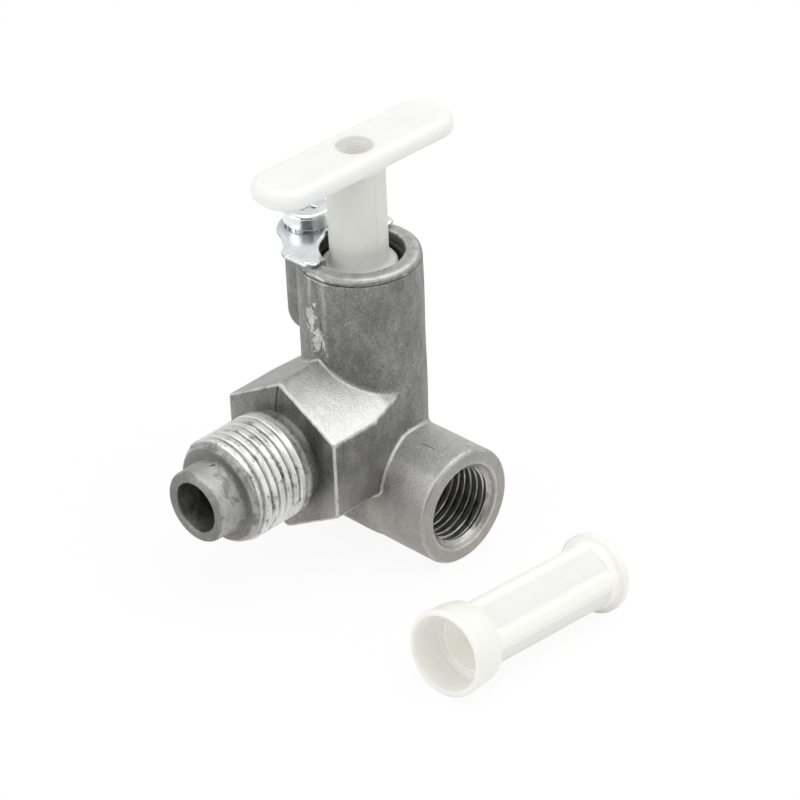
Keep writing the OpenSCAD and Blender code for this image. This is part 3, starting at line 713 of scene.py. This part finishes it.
def handle(x, y, z):
    y = y - AXIS_Y
    r = np.hypot(x, y)
    u = x * math.cos(BAR_TURN) + y * math.sin(BAR_TURN)
    v = y * math.cos(BAR_TURN) - x * math.sin(BAR_TURN)
    outline = rounded_box(u, v + 0.2, 5.55, 20.5, 4.7)
    bar = both(both(outline, z - HANDLE_TOP, 1.6), HANDLE_TOP - BAR_T - z, 1.1)
    stem = both(both(r - STEM_R, z - 49), 29 - z)
    top = join(bar, stem, 0.6)
    flange = both(both(r - FLANGE_R, z - FLANGE_TOP, 0.3), FLANGE_FOOT - z, 0.1)
    form = join(top, flange, 0.9)
    cone = np.clip(np.maximum(WAIST_FOOT - z, z - 15.0), 0, 1.3)
    plug_r = np.where((z > WAIST_FOOT) & (z < WAIST_TOP), WAIST_R + cone, PLUG_R)
    plug_r = np.where((z > 7) & (z <= WAIST_FOOT), PLUG_R - (z - 7) * 1.3, plug_r)
    plug = both(both(r - plug_r, z - FLANGE_FOOT, 0.1), PLUG_FOOT - z, 0.4)
    form = np.minimum(form, plug)
    beside = np.abs(np.degrees(np.arctan2(y, x)) - 135) * math.pi / 180 * 6 - 2.4
    lug = both(both(r - 7.1, beside), both(z - 31.1, 26 - z), 0.1)
    form = np.minimum(form, lug)
    form = cut(form, both(r - 4.5, z - 5.5), 0.1)
    form = cut(form, both(np.hypot(x, z) - 3.9, y), 0.1)
    for at in (18.5, 22.6):
        form = cut(form, both(5.47 - r, np.abs(z - at) - 1.075), 0.05)
    form = cut(form, saddle(x, y, z, 0.05), 0.05)
    hole = both(r - 3.0 - 0.012 * (z - 44), HANDLE_TOP - 12 - z)
    return cut(form, hole, 0.28)


# %% [markdown]
# White plastic is never one flat white. It is a touch warm, has a faint cloudiness where the
# melt flowed, and a soft gloss with a fine matt texture from the mould. The stem is painted
# darker, as painted shade under the bar, and its foot and the hidden plug are painted lighter,
# as painted light. Inside the hole the core pin has left turned rings, and a very faint glow
# there stands for the light that comes through the thin wall.

# %% White plastics
def white_plastic(name, colour, shade, rough, clear, glow):
    f = Finish(name, IOR=1.48, Subsurface_Weight=clear, Subsurface_Scale=3 * MM,
               Subsurface_Radius=(1.0, 1.0, 0.97), Emission_Strength=glow)
    cloud = f.noise(6, 4, 0.6)
    fine = f.noise(0.5, 3, 0.6)
    tone = f.mix(cloud.step(0.35, 0.75) * 0.6 + fine * 0.15, colour, shade)
    f.look(Base_Color=tone, Roughness=rough + cloud * 0.12)
    return f, tone, cloud, fine


plastic, plain, cloud, fine = white_plastic(
    "handle_plastic", (0.80, 0.80, 0.783), (0.76, 0.76, 0.738), 0.36, 0.6, glow=0.12)
# The flange, the stem's foot and the plug are painted lighter as painted light.
foot_painted_light = plastic.mix(cloud, (0.93, 0.93, 0.895), (0.90, 0.90, 0.86))
# The stem is painted darker as painted shade under the bar.
stem_painted_shade = plastic.mix(cloud, (0.69, 0.695, 0.66), (0.65, 0.655, 0.61))
plain = plastic.mix(plastic.z.step(47.9, 47.0), plain, stem_painted_shade)
stem_r = hypot(plastic.x, plastic.y - AXIS_Y)
in_stem = plastic.z.step(47.9, 47.6) * plastic.z.step(29.3, 29.6)
in_hole = stem_r.step(3.6, 3.5) * plastic.z.step(30, 38)
lit_hole = in_hole * stem_r.step(3.25, 3.12) * plastic.z.step(50.9, 50.2)
plastic.look(Base_Color=plastic.mix(plastic.z.step(33, 30), plain, foot_painted_light),
             Emission_Color=plastic.mix(lit_hole, (0, 0, 0), (1.0, 0.99, 0.93)))
on_side = plastic.x.step(2, 3)
parting = (plastic.y - AXIS_Y).near(-0.62, 0.10, 0.02) * on_side
wide_parting = (plastic.y - AXIS_Y).near(2.3, 0.30, 0.05) * on_side
bar_seam = plastic.z.near(48.75, 0.09, 0.02) * stem_r.step(5.4, 5.8)
lines = (parting + wide_parting * 0.5) * in_stem + bar_seam * 0.6
pin_rings = (plastic.z * 14).math("SINE") * in_hole
plastic.bump(fine * 0.25 + cloud * 0.8 - lines * 0.8 + pin_rings * 0.4, 0.1)
turn_key = moulded("handle_and_plug", handle, (-8, 2.4, -7.6), (8, 44.4, 51.9), 0.33, plastic)
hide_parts("tap_handle")
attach(turn_key, "tap_plug")

# %% [markdown]
# The retaining plate is stamped from thin steel and zinc plated. Stamping rolls the edges over,
# and the plating leaves a bright, bluish, slightly streaky mirror. Its outline is a round end
# for the screw, a narrow neck, and a fish tail that lies round the stem, with a tab bent down
# at each tail to stop the plug's lug. The screw has a cross recess and a thread on its pin.

# %% The plate and screw
PLATE_Y, PLATE_TOP = AXIS_Y - 0.15, 32.4
HEAD_R, HEAD_FOOT, HEAD_TOP = 4.2, 32.8, 35.4
PIN_R, PIN_PITCH = 1.78, 0.7


def plate_outline(x, y):
    end = np.hypot(x + 10.15, y) - 6.65
    corners = np.hypot(x + 6.7, np.abs(y) - 8.85) - 1.8
    tail = rounded_box(x + 4.725, y, 3.775, 10.65, 1.8)
    middle = rounded_box(x + 5.9, y, 2.6, 7, 0.5)
    return np.minimum(np.minimum(join(end, corners, 5), tail), middle)


def plate(x, y, z):
    y = y - PLATE_Y
    edge = plate_outline(x, y)
    ring = 6.45 - np.hypot(x, y)
    tail_end = (x + 2.95) * 0.77 - (np.abs(y) - 5.4) * 0.64
    outline = both(both(edge, ring, 0.1), tail_end, 0.4)
    sheet = both(outline, both(z - PLATE_TOP, RIM_Z - z, 0.1), 0.75)
    sheet = cut(sheet, np.hypot(x - BOSS_X, y) - 2.25, 0.2)
    tab = rounded_box(x + 1.8, np.abs(y) - 6.95, 0.45, 0.55, 0.15)
    return join(sheet, both(tab, both(z - 31.9, 29.6 - z, 0.1), 0.15), 0.3)


def screw(x, y, z):
    x, y = x - BOSS_X, y - AXIS_Y
    r = np.hypot(x, y)
    head = both(both(r - HEAD_R + 0.04 * (z - 33), z - HEAD_TOP, 0.7), HEAD_FOOT - z, 0.12)
    a = math.radians(14)
    u, v = x * math.cos(a) + y * math.sin(a), y * math.cos(a) - x * math.sin(a)
    arms = np.minimum(rounded_box(u, v, 1.8, 0.45, 0.1), rounded_box(v, u, 1.8, 0.45, 0.1))
    head = cut(head, both(arms + 0.25 * (HEAD_TOP - z) * 0.4, 34.2 - z), 0.12)
    groove = 0.22 * np.cos((z * 2 * math.pi / PIN_PITCH) + np.arctan2(y, x))
    pin = both(both(r - PIN_R - groove, z - 33.5), 22.8 - z, 0.3)
    return np.minimum(head, pin)


# %% [markdown]
# The zinc plated pieces share one recipe, a cloudy tint with streaks along one axis, and ridges
# painted bright as painted highlight. The sheet alone is painted darker and bluish round the
# screw's head and dark on its punched edge, both as painted shade.

# %% Zinc plating
def zinc(name, rolled):
    f = Finish(name, Metallic=1.0)
    cloud = f.noise(2.4, 4, 0.6, (1.0, 2.2, 1.0))
    fine = f.noise(0.4, 3, 0.6, (1.0, 2.2, 1.0))
    tint = f.ramp(cloud * 0.8 + fine * 0.2, (0.3, (0.72, 0.75, 0.79)),
                  (0.5, (0.86, 0.88, 0.90)), (0.7, (0.94, 0.945, 0.94)))
    # Ridges are painted bright as a painted highlight on the rolled edges.
    tint = f.mix(f.ridge().step(0.4, 1.4) * 0.5, tint, (0.93, 0.935, 0.93))
    screw_r = hypot(f.x - BOSS_X, f.y - AXIS_Y)
    # The sheet round the screw's head is painted darker and bluish as painted shade.
    screw_painted_shade = screw_r.step(6.8, 4.2) * (0.5 + cloud * 0.5) * rolled
    tint = f.mix(screw_painted_shade * 0.8, tint, (0.36, 0.41, 0.46))
    # The sheet's upright punched edge is painted dark as painted shade.
    tint = f.mix(f.up.math("ABSOLUTE").step(0.7, 0.3) * rolled * 0.75, tint, (0.16, 0.18, 0.20))
    f.look(Base_Color=tint, Roughness=0.16 + cloud * 0.16)
    f.bump(cloud * 0.4 + fine * 0.1, 0.06)
    return f


plating = zinc("bright_zinc", 0.0)
sheet_plating = zinc("stamped_zinc", 1.0)
sheet_plate = moulded("retaining_plate", plate, (-17.4, 11.8, 29.1), (-0.4, 34.6, 32.9), 0.16,
                      sheet_plating)
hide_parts("retainer_plate")
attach(sheet_plate, "tap_body")
pan_screw = moulded("plate_screw", screw, (-16.6, 18.8, 22.4), (-7.6, 27.8, 35.8), 0.13, plating)
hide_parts("retainer_screw")
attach(pan_screw, "tap_body")

# %% [markdown]
# Under the screw's head is a toothed lock washer. Each tooth is the same small twisted blade, so
# one blade is made, copied on to the points of a circle, and joined to a ring.

# %% The lock washer
def lock_washer():
    t = Tree("lock_washer_tree", Teeth=18, Radius=4.12 * MM, Thickness=0.36 * MM)
    ring = t.node("GeometryNodeCurvePrimitiveCircle", {
        "Resolution": t.size("Teeth"), "Radius": t.size("Radius") - 0.45 * MM}, mode="RADIUS")
    outward = t.node("GeometryNodeInputTangent")
    blade = t.node("GeometryNodeMeshCube", {
        "Size": t.vector(0.62 * MM, 0.86 * MM, t.size("Thickness"))})
    twisted = t.node("GeometryNodeTransform", {"Geometry": blade, "Rotation": (0.0, 0.38, 0.0)})
    facing = t.node("FunctionNodeAlignRotationToVector", {"Vector": outward}, axis="X")
    teeth = t.node("GeometryNodeInstanceOnPoints", {
        "Points": ring, "Instance": twisted, "Rotation": facing})
    band = t.node("GeometryNodeCurvePrimitiveCircle", {
        "Resolution": 72, "Radius": 3.1 * MM}, mode="RADIUS")
    flat = t.node("GeometryNodeCurvePrimitiveQuadrilateral", {
        "Width": 1.7 * MM, "Height": t.size("Thickness") * 0.9}, mode="RECTANGLE")
    disc = t.node("GeometryNodeCurveToMesh", {
        "Curve": band, "Profile Curve": flat, "Fill Caps": True})
    together = t.node("GeometryNodeJoinGeometry")
    for part in (teeth, disc):
        t.put(together.socket.node.inputs[0], part)
    placed = t.node("GeometryNodeTransform", {
        "Geometry": together, "Translation": (BOSS_X * MM, AXIS_Y * MM, 32.6 * MM)})
    return t.bake("lock_washer_teeth", placed, plating)


washer = lock_washer()
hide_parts("lock_washer")
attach(washer, "tap_body")

# %% [markdown]
# The push-on strainer is a second white moulding. It lies beside the tap, tipped so that its two
# rims touch the table. It is made along its own axis and its mesh is then laid down, so that the
# object itself stays unturned at the origin. A faint glow on its inner walls stands for the
# daylight that comes through thin white plastic.

# %% The strainer's moulding
LIE = (Matrix.Translation((49.75, -10.95, -9.7)) @ Matrix.Rotation(math.radians(2.3), 4, "Z")
       @ Matrix.Rotation(math.radians(-7.8), 4, "X"))
RIB_R, RIB_IN_R, TUBE_R, TUBE_END = 5.9, 5.2, 5.35, 38.6
COLLAR_R, COLLAR_END, SOCKET_R, DISC_R = 7.35, 6.9, 6.43, 7.0


def strainer(x, y, z):
    r = np.hypot(x, z)
    bead = np.hypot(np.maximum(r - 6.75, 0), y - 0.75) - 0.75
    taper = np.where(y < 4, COLLAR_R, COLLAR_R - (y - 4) * 0.17)
    collar = both(both(r - taper, y - COLLAR_END, 0.8), 0.5 - y)
    form = join(bead, collar, 0.2)
    core = both(both(r - RIB_R, y - TUBE_END), 5 - y)
    angle = np.arctan2(-z, x) - math.radians(72)
    near = (angle + math.pi / 4) % (math.pi / 2) - math.pi / 4
    beside = np.abs(r * np.sin(near))
    rib = both(beside - 1.35, core, 0.75)
    rib = join(rib, both(beside - 1.9, both(r - 5.47, y - TUBE_END)), 0.45)
    rib = both(both(rib, RIB_IN_R - r), 5 - y)
    ring = both(both(r - RIB_R, np.abs(y - 37.2) - 0.85, 0.25), 5 - r)
    disc = both(both(r - DISC_R, y - 39.4, 0.3), 38 - y, 0.3)
    form = join(form, rib, 0.8)
    form = join(form, ring, 0.3)
    form = join(form, disc, 0.4)
    form = cut(form, both(r - TUBE_R, both(y - 38, 1.4 - y)))
    form = join(form, both(both(5.02 - r, r - 5.34), both(y - 38.4, 5.95 - y)), 0.3)
    return cut(form, both(r - SOCKET_R, y - 5.9, 0.3), 0.45)


def laid(piece):
    """Puts a piece made along +Y where the strainer lies."""
    lie = LIE.copy()
    lie.translation *= MM
    piece.data.transform(lie)
    return piece


def own_axes(finish):
    """The three coordinates of the laid strainer along its own axes."""
    local = finish.node("ShaderNodeMapping", {
        "Vector": finish.mm, "Location": LIE.translation, "Rotation": LIE.to_euler()},
        vector_type="TEXTURE")
    return finish.axes(local)


white, _, white_cloud, white_fine = white_plastic(
    "strainer_plastic", (0.845, 0.84, 0.795), (0.82, 0.815, 0.765), 0.4, 0.3, glow=0.065)
wx, wy, wz = own_axes(white)
lit_through = hypot(wx, wz).step(6.6, 6.4) * wy.step(38.9, 38.2)
white.look(Emission_Color=white.mix(lit_through, (0, 0, 0), (1.0, 1.0, 0.95)))
white.bump(white_fine * 0.3 + white_cloud * 0.8, 0.1)
strainer_body = laid(moulded("strainer_moulding", strainer, (-8, -0.6, -8), (8, 40, 8), 0.3, white))
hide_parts("strainer_frame")
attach(strainer_body, "tap_body")

# %% [markdown]
# The gauze inside the ribs is a fine plastic weave. Its threads are thinner than a pixel at this
# distance, so they are a pattern rather than a mesh: lines along the tube crossed with lines
# round it. Its inside has the same faint glow, because light comes through the weave too. The
# rubber rings are hidden in the tap and get a plain, slightly bloomed rubber.

# %% Gauze and rubber
weave = Finish("gauze_weave", IOR=1.48, Emission_Strength=0.16)
lx, ly, lz = own_axes(weave)
inner_wall = hypot(lx, lz).step(5.25, 5.1)
round_it = lx.math("ARCTAN2", lz) * TUBE_R
grid = (ly * 21).math("SINE") * 0.5 + (round_it * 21).math("SINE") * 0.5
dust = weave.noise(2.5, 3, 0.6)
weave.look(Base_Color=weave.mix(grid.step(-0.4, 0.5) * 0.7 + dust * 0.2, (0.86, 0.86, 0.83),
                                (0.88, 0.88, 0.85)),
           Roughness=0.55 + dust * 0.1, Alpha=grid.step(-0.7, 0.1) * 0.1 + 0.82,
           Emission_Color=weave.mix(inner_wall, (0, 0, 0), (0.95, 0.95, 0.88)))
weave.bump(grid, 0.02)
tube = laid(turned("gauze_tube", [(5.44, 5.96), (5.44, 38.2), (4.95, 38.2), (4.95, 5.96)],
                   (0, 0, 0), (0, 1, 0), weave, columns=96))
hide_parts("strainer_gauze")
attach(tube, "tap_body")

rubber = Finish("ring_rubber")
bloom = rubber.noise(1.5, 4, 0.6)
rubber.look(Base_Color=rubber.mix(bloom.step(0.4, 0.7), (0.018, 0.018, 0.018),
                                  (0.05, 0.05, 0.048)),
            Roughness=0.45 + bloom * 0.25)
rubber.bump(bloom, 0.05)
for node in ("lower_o_ring", "upper_o_ring", "shut_off_seal"):
    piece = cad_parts[node]
    piece.data.materials.clear()
    piece.data.materials.append(rubber.material)

# %% [markdown]
# The table is a white sheet under the outlet and the strainer. The tap is drawn level, and the
# photograph shows it tipped a little towards the tank end, so the table tips instead. Where the
# camera or a mirror sees it, most of it is plain white light, so that the picture's ground is
# as even as lit paper.

# %% Table
TIP, TABLE_Z, HALF_TABLE = math.radians(6.85), -21.35, 3
normal = Vector((0, math.sin(TIP), math.cos(TIP)))
table_mesh = bpy.data.meshes.new("table")
across, deep = Vector((1, 0, 0)), Vector((0, math.cos(TIP), -math.sin(TIP)))
middle = Vector((0, AXIS_Y * MM, 0)) + normal * TABLE_Z * MM
SQUARE = ((-1, -1), (1, -1), (1, 1), (-1, 1))
table_mesh.from_pydata([middle + across * a * HALF_TABLE + deep * b * HALF_TABLE
                        for a, b in SQUARE], [], [(0, 1, 2, 3)])
table = link("table", table_mesh)
paper = Finish("white_table", Roughness=0.6)
paper_tone = paper.noise(30, 3, 0.5)
paper.look(Base_Color=paper.mix(paper_tone, (0.91, 0.91, 0.91), (0.93, 0.93, 0.93)))
glow = paper.node("ShaderNodeEmission", {"Strength": 1.0}, whole=True)
rays = paper.node("ShaderNodeLightPath", whole=True).outputs
seen = Field(paper, rays["Is Camera Ray"]).math("MAXIMUM", rays["Is Glossy Ray"])
mixed = paper.node("ShaderNodeMixShader", {0: seen * 0.92, 1: paper.shader.outputs[0],
                                           2: glow.outputs[0]}, whole=True)
paper.put(paper.output.inputs[0], mixed.outputs[0])
table_mesh.materials.append(paper.material)

# %% [markdown]
# The light is soft and comes mostly from above, with a weak lamp on the right and a fill from
# the front. A dark card that only reflections see gives the metal something dark to mirror. The
# sky is white where it is seen, and a little weaker where it lights.

# %% Lamps, card and world
def lamp(name, place, watts, wide):
    light = bpy.data.lights.new(name, "AREA")
    light.shape = "RECTANGLE"
    light.size = light.size_y = wide
    light.energy = watts
    piece = bpy.data.objects.new(name, light)
    scene.collection.objects.link(piece)
    piece.location = Vector(place)
    piece.visible_camera = False
    aim = Vector((0.01, 0.01, 0)) - piece.location
    piece.rotation_euler = aim.to_track_quat("-Z", "Y").to_euler()


lamp("soft_top", (0.16, 0.18, 0.8), 5.8, 1.2)
lamp("side_right", (0.9, 0.25, 0.25), 0.9, 0.5)
lamp("front_fill", (-0.25, -0.9, 0.32), 3.9, 0.9)

card_mesh = bpy.data.meshes.new("dark_card")
card_mesh.from_pydata([(a, b * 0.75, 0) for a, b in SQUARE], [], [(0, 1, 2, 3)])
card = link("dark_card", card_mesh)
card.location = (0.62, -0.62, 0.46)
card.rotation_euler = (-card.location).to_track_quat("Z", "Y").to_euler()
card.visible_camera = card.visible_diffuse = card.visible_shadow = False
felt = Finish("black_felt", Roughness=0.9)
felt.look(Base_Color=felt.mix(felt.noise(3, 2), (0.03, 0.03, 0.03), (0.05, 0.05, 0.05)))
card_mesh.materials.append(felt.material)

world = bpy.data.worlds.new("studio")
scene.world = world
world.use_nodes = True
sky = Nodes(world.node_tree)
rays = sky.node("ShaderNodeLightPath", whole=True).outputs
seen = Field(sky, rays["Is Camera Ray"]).math("MAXIMUM", rays["Is Glossy Ray"])
seen = seen.math("MAXIMUM", rays["Is Transmission Ray"])
strength = sky.node("ShaderNodeMapRange", {0: seen, "To Min": 0.70, "To Max": 1.0})
white_sky = sky.node("ShaderNodeBackground", {"Strength": strength}, whole=True)
sky.node("ShaderNodeOutputWorld", {0: white_sky.outputs[0]}, whole=True)

scene.view_settings.view_transform = "Standard"
